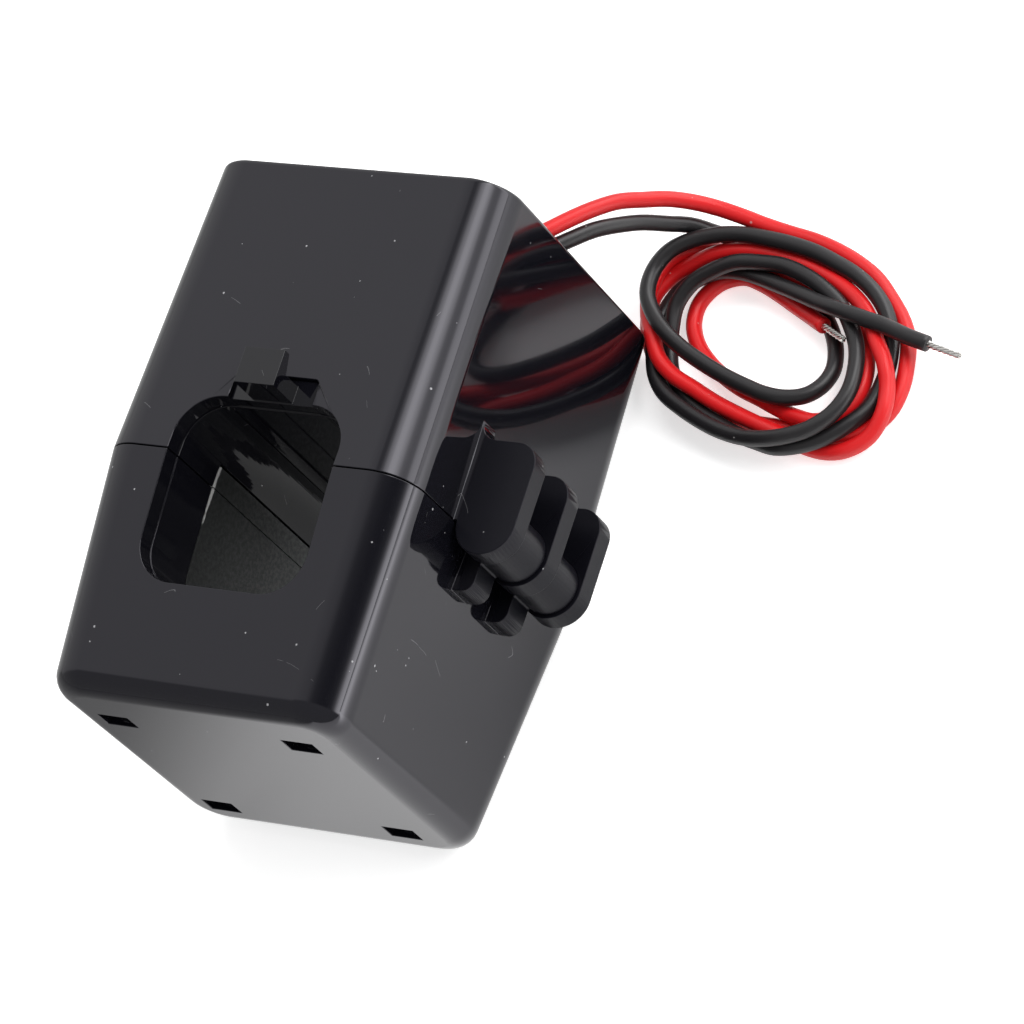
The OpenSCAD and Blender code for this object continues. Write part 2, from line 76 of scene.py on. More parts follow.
# Where each lead goes, in millimetres, from the bush in the housing's end to its cut end:
# out and down to the table, then three loose turns that lie on one another.
BLACK_ROUTE = (
    (8.3, 32.8, 14.2), (8.3, 33.7, 14.1), (8.9, 34.9, 13.6), (10.2, 36.6, 12.6), (11.5, 38.3, 11.4),
    (12.8, 39.7, 9.9), (14.1, 40.9, 8.3), (15.6, 41.8, 6.6), (17.2, 42.6, 5), (19.1, 42.7, 3.6),
    (21.2, 42.7, 2.4), (23.2, 42.3, 1.3), (25.4, 41.3, 0.9), (27.6, 40, 0.8), (29.3, 38.3, 0.8),
    (31, 36.6, 0.8), (32.5, 34.7, 1), (33.5, 32.8, 1.4), (34, 30.9, 1.9), (33.7, 29.2, 2.4),
    (32.7, 27.9, 2.9), (31.1, 27.3, 3.3), (29.1, 27.3, 3.6), (26.9, 27.8, 3.9), (24.6, 28.5, 4.2),
    (22.3, 29.4, 4.5), (20, 30.5, 4.8), (18, 31.8, 5.1), (16.3, 33.4, 5.2), (15.1, 35.3, 5.3),
    (14.9, 37.7, 5.2), (15.9, 39.8, 5.2), (17.8, 41.2, 5), (20.1, 42, 4.8), (22.5, 42.3, 4.6),
    (24.9, 42.2, 4.4), (27.2, 42, 4.1), (29.6, 41.6, 3.7), (31.8, 40.9, 3.3), (34, 40, 2.9),
    (36, 38.7, 2.5), (37.6, 37, 2.2), (38.6, 34.9, 1.8), (38.9, 32.6, 1.3), (38.9, 30.2, 1.4),
    (38.5, 27.8, 1.7), (37.3, 25.8, 2.2), (35.5, 24.2, 2.4), (33.4, 23.2, 2.5), (31, 22.8, 2.4),
    (28.7, 23.3, 2.1), (26.4, 23.9, 2), (24.1, 24.8, 2), (22, 25.8, 2.1), (20, 27.2, 2.3),
    (18.4, 28.9, 2.2), (17.3, 31, 1.9), (16.9, 33.4, 2.4), (16.9, 35.7, 2.8), (18.1, 37.7, 3.3),
    (20.1, 39, 3.7), (22.3, 39.8, 4), (24.7, 40, 3.9), (27.1, 39.9, 3.8), (29.4, 39.2, 3.7),
    (31.5, 38.2, 3.4), (33.5, 36.8, 3), (35, 35, 2.9), (36.2, 33, 3), (36.9, 30.7, 3.2), (37, 28.3, 3.4),
    (36.2, 26.1, 3.6), (34.6, 24.3, 3.9), (32.5, 23.3, 4), (30.1, 22.9, 3.8), (27.8, 23, 3.5),
    (25.4, 23.5, 3.4), (23.2, 24.3, 3.3), (21, 25.3, 3.3), (18.9, 26.5, 3.3), (17.3, 28.2, 3.1),
    (16.2, 30.4, 2.8), (15.4, 32.6, 2.4), (15.4, 35, 2), (16.2, 37.2, 2), (18, 38.8, 2.1),
    (20.2, 39.6, 2.3), (22.6, 39.5, 2.5), (24.9, 38.9, 2.8), (27.1, 38.2, 3.1), (29.4, 37.4, 3.5),
    (31.6, 36.6, 3.9), (33.8, 35.9, 4.4), (36.2, 35.4, 4.2), (38.5, 35, 3.8), (40.8, 34.4, 3.3),
    (43.1, 33.9, 3),
)
RED_ROUTE = (
    (6.9, 32.8, 15.9), (6.9, 33.7, 15.8), (7.6, 34.9, 15.3), (8.9, 36.6, 14.4), (10.1, 38.4, 13.3),
    (11.3, 40.1, 12.1), (12.6, 41.6, 10.8), (14.1, 42.7, 9.3), (15.7, 43.7, 7.8), (17.5, 44.3, 6.3),
    (19.6, 44.4, 5.2), (21.9, 44.1, 4.5), (24.1, 43.7, 3.9), (26.4, 43.4, 3.3), (28.8, 43.1, 2.8),
    (31.1, 42.5, 2.4), (33.2, 41.7, 1.9), (35.3, 40.5, 1.5), (37, 38.9, 1.1), (38.6, 37.1, 0.8),
    (39.8, 35.1, 0.8), (40.4, 32.7, 0.8), (40.6, 30.4, 0.8), (40.1, 28, 0.8), (38.6, 26.2, 0.8),
    (36.4, 25.3, 0.8), (34, 25.2, 0.8), (31.6, 25.4, 0.8), (29.2, 25.5, 0.8), (26.8, 25.6, 0.8),
    (24.4, 25.9, 0.8), (22.1, 26.6, 0.8), (19.9, 27.4, 0.8), (17.8, 28.5, 0.8), (16, 30.1, 0.9),
    (14.6, 32, 1.1), (13.8, 34.2, 1.6), (13.9, 36.5, 2.1), (15.1, 38.6, 2.2), (17.1, 39.9, 2.6),
    (19.2, 40.8, 3.1), (21.5, 41.3, 3.3), (23.9, 41.4, 3.2), (26.3, 41.2, 2.9), (28.6, 40.7, 2.7),
    (30.9, 39.9, 2.5), (33, 38.9, 2.5), (35, 37.5, 2.5), (36.6, 35.8, 2.6), (37.9, 33.8, 2.8),
    (39.3, 31.8, 2.8), (40.1, 29.6, 2.4), (40.3, 27.2, 2.2), (39.4, 25.1, 1.7), (37.5, 23.8, 1.3),
    (35.1, 23.5, 0.9), (32.8, 23.8, 1.1), (30.6, 24.4, 1.8), (28.3, 25, 2.2), (26, 25.7, 2.4),
    (23.8, 26.4, 2.8), (21.6, 27.3, 3.3), (19.4, 28.2, 3.8), (17.6, 29.6, 4.1), (16.3, 31.7, 4.2),
    (15.1, 33.7, 4), (14.4, 35.9, 3.8), (14.6, 38.3, 3.8), (15.5, 40.4, 3.2), (17.2, 41.6, 2.1),
    (19.5, 41.8, 1.6), (21.8, 41.1, 1.7), (24.1, 40.6, 1.9), (26.4, 39.9, 2.1), (28.7, 39.2, 2.2),
    (30.9, 38.4, 2), (32.9, 37.1, 1.6), (34.7, 35.6, 1.3), (36.1, 33.7, 1.4), (37.1, 31.5, 1.6),
    (37.2, 29.1, 1.8), (36.2, 27, 2), (34.2, 25.8, 2.2), (31.8, 26.1, 2.1), (29.6, 26.9, 1.7),
    (27.4, 27.8, 1.4), (25.2, 28.6, 1.3), (23, 29.7, 1.2), (21, 31, 1), (19.3, 32.6, 1), (18.1, 34.7, 0.9),
    (18, 37, 0.8), (19.4, 39, 0.8), (21.6, 39.8, 0.8), (23.8, 39.2, 1.1), (26, 38.2, 1.4),
    (28.1, 37.1, 1.7), (30.2, 36, 2), (32.2, 34.9, 2.6),
)


# ---- Settings -----------------------------------------------------------------------------------


def length_setting(name, description, default, least, most):
    """Setting for a length; its three numbers are in millimetres"""
    return FloatProperty(
        name=name,
        description=description,
        default=default * MM,
        min=least * MM,
        max=most * MM,
        subtype="DISTANCE",
        unit="LENGTH",
    )


def colour_setting(name, description, default):
    return FloatVectorProperty(
        name=name, description=description, default=default, subtype="COLOR", min=0, max=1
    )


class TransformerSizes(bpy.types.PropertyGroup):
    """Sizes of the pieces that are made here"""

    lead_diameter: length_setting(
        "Lead diameter", "Outside diameter of the insulation of each lead", 1.5, 0.5, 3
    )
    strand_radius: length_setting(
        "Strand radius", "Radius of one tinned strand at a lead's bare end", 0.12, 0.05, 0.3
    )
    strand_count: IntProperty(
        name="Strands",
        description="Number of strands twisted round the middle one",
        default=6,
        min=3,
        max=12,
    )
    strand_length: length_setting(
        "Bare length", "Length of the bare strands at a lead's end", 3.6, 1, 6
    )
    edge_round: length_setting(
        "Edge round", "Radius of the housing's small moulded edges", 0.08, 0.02, 0.4
    )
    winding_turns: IntProperty(
        name="Winding turns",
        description="Turns of enamelled wire in the outermost layer of the winding",
        default=44,
        min=8,
        max=90,
    )


class TransformerColours(bpy.types.PropertyGroup):
    """Colours of the finishes"""

    housing: colour_setting(
        "Housing", "Glossy black of the two halves of the housing", (0.004, 0.004, 0.006)
    )
    carrier: colour_setting(
        "Carriers", "Matt grey-green of the mouldings that hold the core", (0.017, 0.018, 0.018)
    )
    red: colour_setting("Red lead", "Red of the lead's insulation", (0.62, 0.01, 0.012))
    black: colour_setting("Black lead", "Black of the lead's insulation", (0.011, 0.01, 0.011))


def sizes():
    return bpy.context.scene.transformer_sizes


def colours():
    return bpy.context.scene.transformer_colours


# ---- Nodes --------------------------------------------------------------------------------------


def put(tree, socket, value):
    """Link a socket to another one, or set its value"""
    if isinstance(value, bpy.types.NodeSocket):
        tree.links.new(value, socket)
    elif value is not None:
        socket.default_value = value


def node(tree, kind, **values):
    """Add a node, and set its own settings and its sockets by name"""
    made = tree.nodes.new(kind)
    for key, value in values.items():
        if hasattr(made, key):
            setattr(made, key, value)
        else:
            put(tree, made.inputs[key.replace("_", " ")], value)
    return made


def math_node(tree, operation, first, second=None, third=None, clamp=False):
    made = node(tree, "ShaderNodeMath", operation=operation, use_clamp=clamp)
    for socket, value in zip(made.inputs, (first, second, third)):
        put(tree, socket, value)
    return made.outputs[0]


def times(tree, first, second, clamp=False):
    return math_node(tree, "MULTIPLY", first, second, clamp=clamp)


def plus(tree, first, second, clamp=False):
    return math_node(tree, "ADD", first, second, clamp=clamp)


def minus(tree, first, second, clamp=False):
    return math_node(tree, "SUBTRACT", first, second, clamp=clamp)


def axes(tree, vector):
    """X, Y and Z of a vector"""
    return node(tree, "ShaderNodeSeparateXYZ", Vector=vector).outputs


def noise(tree, place, **values):
    return node(tree, "ShaderNodeTexNoise", Vector=place, **values).outputs[0]


def blend_colour(tree, mask, first, second, how="MIX"):
    made = node(tree, "ShaderNodeMix", data_type="RGBA", blend_type=how)
    put(tree, made.inputs[0], mask)
    for socket, value in zip(made.inputs[6:8], (first, second)):
        put(tree, socket, (*value, 1) if isinstance(value, tuple) else value)
    return made.outputs[2]


def ramp(tree, value, start, end, low=0.0, high=1.0):
    """Smooth step from low to high between two values"""
    made = node(
        tree,
        "ShaderNodeMapRange",
        interpolation_type="SMOOTHSTEP",
        Value=value,
        From_Min=start,
        From_Max=end,
        To_Min=low,
        To_Max=high,
    )
    return made.outputs[0]


def new_group(name, kind, inputs, output):
    """A node group and the sockets at its ends; each is a label, a type and, if any, a value"""
    tree = bpy.data.node_groups.new(name, kind)
    for label, socket_type, *default in inputs:
        socket = tree.interface.new_socket(
            name=label, in_out="INPUT", socket_type="NodeSocket" + socket_type
        )
        if default:
            socket.default_value = default[0]
    label, socket_type = output
    tree.interface.new_socket(
        name=label, in_out="OUTPUT", socket_type="NodeSocket" + socket_type
    )
    return tree, tree.nodes.new("NodeGroupInput").outputs, tree.nodes.new("NodeGroupOutput").inputs


# ---- Shader groups ------------------------------------------------------------------------------


def build_specks():
    """Dust: small specks of many sizes, each kept or dropped by its own random number"""
    tree, given, result = new_group(
        "dust_specks",
        "ShaderNodeTree",
        (
            ("Vector", "Vector"),
            ("Scale", "Float", 600.0),
            ("Share", "Float", 0.1),
            ("Size", "Float", 0.16),
        ),
        ("Mask", "Float"),
    )
    cells = node(
        tree, "ShaderNodeTexVoronoi", feature="F1", Vector=given["Vector"], Scale=given["Scale"]
    ).outputs
    pick = node(tree, "ShaderNodeSeparateColor", Color=cells["Color"]).outputs
    kept = math_node(tree, "LESS_THAN", pick[0], given["Share"])
    reach = times(tree, given["Size"], plus(tree, pick[1], 0.25))
    fade = math_node(tree, "DIVIDE", cells["Distance"], reach)
    inside = minus(tree, 1.0, fade, clamp=True)
    sharp = times(tree, inside, 2.5, clamp=True)
    put(tree, result["Mask"], times(tree, sharp, kept))
    return tree


def build_hairlines():
    """Fine handling scratches: thin level lines of a stretched noise, broken up by a second one"""
    tree, given, result = new_group(
        "hairline_scratches",
        "ShaderNodeTree",
        (
            ("Vector", "Vector"),
            ("Scale", "Float", 120.0),
            ("Width", "Float", 0.004),
            ("Share", "Float", 0.35),
        ),
        ("Mask", "Float"),
    )
    scale = given["Scale"]
    lines = noise(tree, given["Vector"], Scale=scale, Detail=1.0, Roughness=0.4, Distortion=0.6)
    away = math_node(tree, "ABSOLUTE", minus(tree, lines, 0.5))
    thin = minus(tree, 1.0, math_node(tree, "DIVIDE", away, given["Width"]), clamp=True)
    breaks = noise(tree, given["Vector"], Scale=times(tree, scale, 3.1), Detail=2.0)
    kept = math_node(tree, "LESS_THAN", breaks, given["Share"])
    put(tree, result["Mask"], times(tree, thin, kept))
    return tree


def build_grain():
    """Fine uneven grain of a spark-eroded mould or a drawn skin, as a height"""
    tree, given, result = new_group(
        "mould_grain",
        "ShaderNodeTree",
        (("Vector", "Vector"), ("Scale", "Float", 4000.0), ("Coarse", "Float", 0.3)),
        ("Height", "Float"),
    )
    scale = given["Scale"]
    fine = noise(tree, given["Vector"], Scale=scale, Detail=3.0, Roughness=0.6)
    wide = times(tree, scale, 0.12)
    coarse = noise(tree, given["Vector"], Scale=wide, Detail=2.0, Roughness=0.5)
    put(tree, result["Height"], plus(tree, fine, times(tree, coarse, given["Coarse"])))
    return tree


GROUP_MAKERS = {
    "dust_specks": build_specks,
    "hairline_scratches": build_hairlines,
    "mould_grain": build_grain,
}


def use_group(tree, name, vector, **values):
    """A shared effect as one node, made when it is first asked for"""
    group = bpy.data.node_groups.get(name) or GROUP_MAKERS[name]()
    made = node(tree, "ShaderNodeGroup", node_tree=group)
    put(tree, made.inputs["Vector"], vector)
    for key, value in values.items():
        put(tree, made.inputs[key], value)
    return made.outputs[0]


# ---- Materials ----------------------------------------------------------------------------------


def new_material(name, colour, roughness, **values):
    """A material, with its tree, its shader's sockets and the piece's own coordinates"""
    material = bpy.data.materials.new(name)
    material.use_nodes = True
    tree = material.node_tree
    surface = tree.nodes["Principled BSDF"].inputs
    surface["Base Color"].default_value = (*colour, 1)
    surface["Roughness"].default_value = roughness
    for key, value in values.items():
        surface[key.replace("_", " ")].default_value = value
    place = tree.nodes.new("ShaderNodeTexCoord").outputs["Object"]
    return material, tree, surface, place


def raise_surface(tree, surface, height, distance, strength):
    bump = node(tree, "ShaderNodeBump", Height=height, Distance=distance, Strength=strength)
    put(tree, surface["Normal"], bump.outputs["Normal"])


def mottle_roughness(tree, surface, cloud, spread, least):
    """Roughness that follows a cloud, from the least upwards"""
    put(tree, surface["Roughness"], plus(tree, times(tree, cloud, spread), least))


def soil(tree, surface, place, clean, roughness, dust):
    """Put dust and hairline scratches on a gloss moulding, and return its roughness"""
    fine = use_group(tree, "dust_specks", place, Scale=1500.0, Share=0.03 * dust, Size=0.17)
    large = use_group(tree, "dust_specks", place, Scale=420.0, Share=0.035 * dust, Size=0.09)
    lines = use_group(tree, "hairline_scratches", place, Scale=100.0, Width=0.002, Share=0.36)
    specks = math_node(tree, "MAXIMUM", fine, large)
    marks = math_node(tree, "MAXIMUM", specks, times(tree, lines, 0.35))
    put(tree, surface["Base Color"], blend_colour(tree, marks, clean, (0.3, 0.3, 0.31)))
    smear = times(tree, noise(tree, place, Scale=110.0, Detail=3.0), roughness)
    return plus(tree, smear, times(tree, marks, 0.4), clamp=True)


def paint_housing():
    """Mirror-gloss black moulding, with the hinge and its plates in satin"""
    colour = tuple(colours().housing)
    material, tree, surface, place = new_material(
        "housing_gloss_black", colour, 0.06, IOR=1.5, Specular_Tint=(0.94, 0.92, 1.0, 1)
    )
    rough = soil(tree, surface, place, colour, roughness=0.12, dust=1.0)
    past = minus(tree, axes(tree, place)["X"], HINGE_SIDE)
    hinge = times(tree, past, 6000.0, clamp=True)
    put(tree, surface["Roughness"], math_node(tree, "MAXIMUM", rough, times(tree, hinge, 0.34)))
    put(tree, surface["Specular IOR Level"], math_node(tree, "MULTIPLY_ADD", hinge, -0.32, 0.5))
    grain = use_group(tree, "mould_grain", place, Scale=5200.0, Coarse=0.5)
    raise_surface(tree, surface, times(tree, grain, hinge), distance=0.000012, strength=0.5)
    return material


def paint_lining():
    """Gloss black lining of the conductor window, a little softer than the housing"""
    colour = tuple(colours().housing)
    material, tree, surface, place = new_material("lining_gloss_black", colour, 0.05, IOR=1.48)
    rough = soil(tree, surface, place, colour, roughness=0.08, dust=0.8)
    put(tree, surface["Roughness"], rough)
    return material


def paint_carrier(highlight_edge_height):
    """Matt grey-green moulding with a fine grain, with painted light that makes it paler towards the back,
    and a painted highlight on the burr at its front edge and past it
    """
    colour = tuple(colours().carrier)
    material, tree, surface, place = new_material("carrier_matt_grey", colour, 0.55, IOR=1.45)
    cloud = noise(tree, place, Scale=2400.0, Detail=4.0, Roughness=0.7)
    height = axes(tree, place)["Z"]
    # Painted light: paler towards the back, where light comes in through the back opening.
    deep = ramp(tree, height, *CARRIER_FADE)
    painted_back_light = blend_colour(tree, deep, colour, tuple(min(1, c * 5) for c in colour))
    patchy = ramp(tree, cloud, 0.35, 0.62)
    mottled = blend_colour(tree, patchy, painted_back_light, (0.55, 0.56, 0.56), "MULTIPLY")
    # A painted highlight on the torn burr along the front edge; what lies above it, the edge's own face,
    # has the same painted highlight.
    tear = minus(tree, noise(tree, place, Scale=900.0, Detail=4.0), 0.5)
    torn = math_node(tree, "MULTIPLY_ADD", tear, 0.5 * MM, minus(tree, height, highlight_edge_height))
    burr_highlight_mask = times(tree, times(tree, torn, 12000.0, clamp=True), 0.7)
    mottled = blend_colour(tree, burr_highlight_mask, mottled, (0.5, 0.5, 0.49))
    specks = use_group(tree, "dust_specks", place, Scale=1100.0, Share=0.07, Size=0.2)
    dusty = blend_colour(tree, times(tree, specks, 0.5), mottled, (0.25, 0.26, 0.25))
    put(tree, surface["Base Color"], dusty)
    mottle_roughness(tree, surface, cloud, spread=0.3, least=0.42)
    grain = use_group(tree, "mould_grain", place, Scale=3600.0, Coarse=1.2)
    raise_surface(tree, surface, grain, distance=0.00003, strength=0.6)
    return material


def paint_core():
    """Wound silicon-steel strip: thin laminations that run round the core, ends ground"""
    material, tree, surface, place = new_material(
        "core_silicon_steel", (0.36, 0.36, 0.38), 0.38, Metallic=1.0
    )
    split = axes(tree, place)
    across = math_node(tree, "ABSOLUTE", split["X"])
    along = minus(tree, math_node(tree, "ABSOLUTE", split["Y"]), CORE_STRETCH)
    layer = times(tree, math_node(tree, "MAXIMUM", across, along), SHEETS_PER_METRE)
    seam = math_node(tree, "LESS_THAN", math_node(tree, "FRACT", layer), 0.16)
    number = math_node(tree, "FLOOR", layer)
    sheets = node(tree, "ShaderNodeTexWhiteNoise", noise_dimensions="1D", W=number)
    steel = blend_colour(tree, sheets.outputs[0], (0.26, 0.26, 0.28), (0.46, 0.46, 0.48))
    put(tree, surface["Base Color"], blend_colour(tree, seam, steel, (0.05, 0.05, 0.055)))
    brushed = noise(tree, place, Scale=2600.0, Detail=2.0)
    mottle_roughness(tree, surface, brushed, spread=0.3, least=0.22)
    raise_surface(tree, surface, minus(tree, 1.0, seam), distance=0.00003, strength=0.7)
    return material


def paint_insulation(name, colour, roughness):
    """Extruded insulation: an even gloss skin with faint ripples and a little dust"""
    material, tree, surface, place = new_material(name, colour, roughness, IOR=1.5)
    cloud = noise(tree, place, Scale=260.0, Detail=3.0)
    low = tuple(c * 0.86 for c in colour)
    high = tuple(min(1, c * 1.1) for c in colour)
    body = blend_colour(tree, cloud, low, high)
    specks = use_group(tree, "dust_specks", place, Scale=1700.0, Share=0.035, Size=0.22)
    dusty = blend_colour(tree, times(tree, specks, 0.5), body, (0.5, 0.48, 0.47))
    put(tree, surface["Base Color"], dusty)
    mottle_roughness(tree, surface, cloud, spread=0.14, least=roughness - 0.07)
    ripples = use_group(tree, "mould_grain", place, Scale=900.0, Coarse=1.0)
    raise_surface(tree, surface, ripples, distance=0.00002, strength=0.35)
    return material


def paint_tin():
    material, tree, surface, place = new_material(
        "tinned_strands", (0.74, 0.73, 0.7), 0.26, Metallic=1.0
    )
    cloud = noise(tree, place, Scale=1800.0, Detail=4.0)
    tin = blend_colour(tree, cloud, (0.52, 0.5, 0.47), (0.92, 0.91, 0.89))
    put(tree, surface["Base Color"], tin)
    mottle_roughness(tree, surface, cloud, spread=0.3, least=0.12)
    raise_surface(tree, surface, cloud, distance=0.00004, strength=0.5)
    return material


def paint_plain(name, low, high, roughness, scale, depth, **values):
    """A moulding, foam, board or wire with its own mottling and grain"""
    material, tree, surface, place = new_material(name, low, roughness, **values)
    cloud = noise(tree, place, Scale=scale, Detail=4.0, Roughness=0.6)
    put(tree, surface["Base Color"], blend_colour(tree, cloud, low, high))
    mottle_roughness(tree, surface, cloud, spread=0.2, least=roughness - 0.1)
    grain = use_group(tree, "mould_grain", place, Scale=scale * 6, Coarse=0.6)
    raise_surface(tree, surface, grain, depth, strength=0.5)
    return material


# ---- Meshes -------------------------------------------------------------------------------------

# Faces are in one plane from this cosine between them, and mirror as a plane from this width.
LEVEL_COSINE = 0.999998
LEAST_FLAT_WIDTH = 0.8 * MM


def add_object(name, data):
    made = bpy.data.objects.new(name, data)
    bpy.context.scene.collection.objects.link(made)
    return made


def add_piece(name, mesh, body):
    piece = add_object(name, mesh)
    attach(piece, body)
    return piece


def settle(piece):
    """Turn a piece's modifiers into plain mesh"""
    graph = bpy.context.evaluated_depsgraph_get()
    mesh = bpy.data.meshes.new_from_object(piece.evaluated_get(graph))
    piece.modifiers.clear()
    piece.data = mesh


def wide_flat_faces(mesh, width):
    """Indices of the faces that lie in one plane, with enough of their neighbours to be this wide

    Two faces lie in one plane where the cosine between their normals is above LEVEL_COSINE.
    """
    grid = bmesh.new()
    grid.from_mesh(mesh)
    done = set()
    flat = set()
    for face in grid.faces:
        if face.index in done:
            continue
        done.add(face.index)
        group = [face]
        for member in group:
            for near in (f for line in member.edges for f in line.link_faces):
                if near.index not in done and near.normal.dot(face.normal) > LEVEL_COSINE:
                    done.add(near.index)
                    group.append(near)
        corners = [v.co for f in group for v in f.verts]
        spans = Vector([max(c[k] for c in corners) - min(c[k] for c in corners) for k in range(3)])
        if sum(f.calc_area() for f in group) > width * spans.length:
            flat.update(f.index for f in group)
    grid.free()
    return flat


def flatten(mesh):
    """Give every wide flat face its own normal at all corners, so that it mirrors as a plane"""
    flat = wide_flat_faces(mesh, LEAST_FLAT_WIDTH)
    normals = [Vector(n.vector) for n in mesh.corner_normals]
    for face in mesh.polygons:
        if face.index in flat:
            for corner in face.loop_indices:
                normals[corner] = face.normal.copy()
    mesh.normals_split_custom_set(normals)


def moulded_copy(name, cad_name, material, edge):
    """A merged copy of a solid with small round edges and even reflections"""
    angle = math.radians(EDGE_ANGLE)
    mesh = frame["nodes"][cad_name].data.copy()
    mesh.name = name
    grid = bmesh.new()
    grid.from_mesh(mesh)
    bmesh.ops.remove_doubles(grid, verts=grid.verts, dist=0.02 * MM)
    bmesh.ops.dissolve_degenerate(grid, edges=grid.edges, dist=0.01 * MM)
    grid.to_mesh(mesh)
    grid.free()
    mesh.materials.clear()
    mesh.materials.append(material)
    piece = add_object(name, mesh)
    mesh.shade_smooth()
    mesh.set_sharp_from_angle(angle=angle)
    bevel = piece.modifiers.new("edges", "BEVEL")
    bevel.width = edge
    bevel.segments = 2
    bevel.limit_method = "ANGLE"
    bevel.angle_limit = angle
    bevel.harden_normals = True
    bevel.use_clamp_overlap = False
    weigh = piece.modifiers.new("even", "WEIGHTED_NORMAL")
    weigh.keep_sharp = True
    settle(piece)
    flatten(piece.data)
    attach(piece, body_of(cad_name))
    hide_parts(cad_name)
    return piece


def body_of(cad_name):
    for body, members in frame["record"]["behaviour"]["bodies"].items():
        if cad_name in members:
            return body
    raise ValueError(f"{cad_name} is in no body")


def finish_solid(cad_name, material):
    solid = frame["nodes"][cad_name]
    solid.data.materials.clear()
    solid.data.materials.append(material)


def between(first, second, start, end, u):
    """The point at u on the line that is at first for start and at second for end"""
    return first * ((end - u) / (end - start)) + second * ((u - start) / (end - start))


def smooth_route(route, steps):
    """Centripetal Catmull-Rom curve through the route's points, in metres"""
    given = [Vector(p) * MM for p in route]
    ends = [given[0] * 2 - given[1], *given, given[-1] * 2 - given[-2]]
    line = []
    for i in range(1, len(ends) - 2):
        p = ends[i - 1 : i + 3]
        t = [0.0]
        for a, b in zip(p, p[1:]):
            t.append(t[-1] + max((b - a).length, 1e-9) ** 0.5)
        for k in range(steps):
            u = t[1] + (t[2] - t[1]) * k / steps
            a = [between(p[j], p[j + 1], t[j], t[j + 1], u) for j in range(3)]
            b = [between(a[j], a[j + 1], t[j], t[j + 2], u) for j in range(2)]
            line.append(between(*b, t[1], t[2], u))
    line.append(given[-1])
    return line


def tube_mesh(name, line, radius, sides=20):
    """Round tube along a line, with its frame carried along so that it never twists"""
    rings = []
    side = Vector((1, 0, 0))
    last = len(line) - 1
    mesh = bpy.data.meshes.new(name)
    grid = bmesh.new()
    turns = [2 * math.pi * k / sides for k in range(sides)]
    for i, point in enumerate(line):
        ahead = (line[min(i + 1, last)] - line[max(i - 1, 0)]).normalized()
        side = (side - ahead * side.dot(ahead)).normalized()
        other = ahead.cross(side)
        # The cut end: full size until just before the end, then a small round.
        spots = [(point, radius * (0.9 if i == last else 1.0))]
        if i == last - 1:
            spots.append((line[last] - ahead * 0.12 * radius, radius))
        for middle, reach in spots:
            spokes = (side * math.cos(a) + other * math.sin(a) for a in turns)
            rings.append([grid.verts.new(middle + spoke * reach) for spoke in spokes])
    for a, b in zip(rings, rings[1:]):
        for k in range(sides):
            m = (k + 1) % sides
            grid.faces.new((a[k], a[m], b[m], b[k]))
    grid.faces.new(list(reversed(rings[0])))
    grid.faces.new(rings[-1])
    grid.to_mesh(mesh)
    grid.free()
    mesh.shade_smooth()
    return mesh


# ---- Geometry Nodes -----------------------------------------------------------------------------

# Radius of the winding's wire as a share of its pitch, so that the turns just touch.
WIRE_SHARE = 0.52


def new_tree(name, inputs):
    """A geometry tree: its tree, its inputs and its result, with a material among the inputs"""
    inputs = (("Geometry", "Geometry"), *inputs, ("Material", "Material"))
    return new_group(name, "GeometryNodeTree", inputs, ("Geometry", "Geometry"))


def finish_tree(tree, shape, given, result):
    """Make the copies real and smooth, and paint them"""
    real = tree.nodes.new("GeometryNodeRealizeInstances")
    smooth = tree.nodes.new("GeometryNodeSetShadeSmooth")
    tree.links.new(shape, real.inputs[0])
    tree.links.new(real.outputs[0], smooth.inputs[0])
    paint = node(
        tree, "GeometryNodeSetMaterial", Geometry=smooth.outputs[0], Material=given["Material"]
    )
    tree.links.new(paint.outputs[0], result[0])
    return tree


def round_bar(tree, line, radius, **values):
    """A bar of eight sides along a curve"""
    outline = node(tree, "GeometryNodeCurvePrimitiveCircle", Resolution=8, Radius=radius)
    bar = node(
        tree, "GeometryNodeCurveToMesh", Curve=line, Profile_Curve=outline.outputs[0], **values
    )
    return bar.outputs[0]


def strand_tree():
    """Strands twisted round a straight middle one, then put in place"""
    tree, given, result = new_tree(
        "twisted_strands",
        (
            ("Strands", "Int"),
            ("Strand Radius", "Float"),
            ("Length", "Float"),
            ("Twists", "Float"),
            ("Place", "Vector"),
            ("Turn", "Vector"),
        ),
    )
    radius = given["Strand Radius"]
    lay = times(tree, radius, 1.9)
    helix = node(
        tree,
        "GeometryNodeCurveSpiral",
        Resolution=20,
        Rotations=given["Twists"],
        Start_Radius=lay,
        End_Radius=times(tree, lay, 0.86),
        Height=given["Length"],
    )
    strand = round_bar(tree, helix.outputs[0], radius, Fill_Caps=True)
    spots = node(tree, "GeometryNodePoints", Count=given["Strands"])
    number = tree.nodes.new("GeometryNodeInputIndex").outputs[0]
    step = math_node(tree, "DIVIDE", 2 * math.pi, given["Strands"])
    spin = node(tree, "ShaderNodeCombineXYZ", Z=times(tree, number, step))
    copies = node(
        tree,
        "GeometryNodeInstanceOnPoints",
        Points=spots.outputs[0],
        Instance=strand,
        Rotation=spin.outputs[0],
    )
    top = node(tree, "ShaderNodeCombineXYZ", Z=times(tree, given["Length"], 1.03))
    straight = node(tree, "GeometryNodeCurvePrimitiveLine", End=top.outputs[0])
    middle = round_bar(tree, straight.outputs[0], radius, Fill_Caps=True)
    join = tree.nodes.new("GeometryNodeJoinGeometry")
    tree.links.new(copies.outputs[0], join.inputs[0])
    tree.links.new(middle, join.inputs[0])
    move = node(
        tree,
        "GeometryNodeTransform",
        Geometry=join.outputs[0],
        Translation=given["Place"],
        Rotation=given["Turn"],
    )
    return finish_tree(tree, move.outputs[0], given, result)


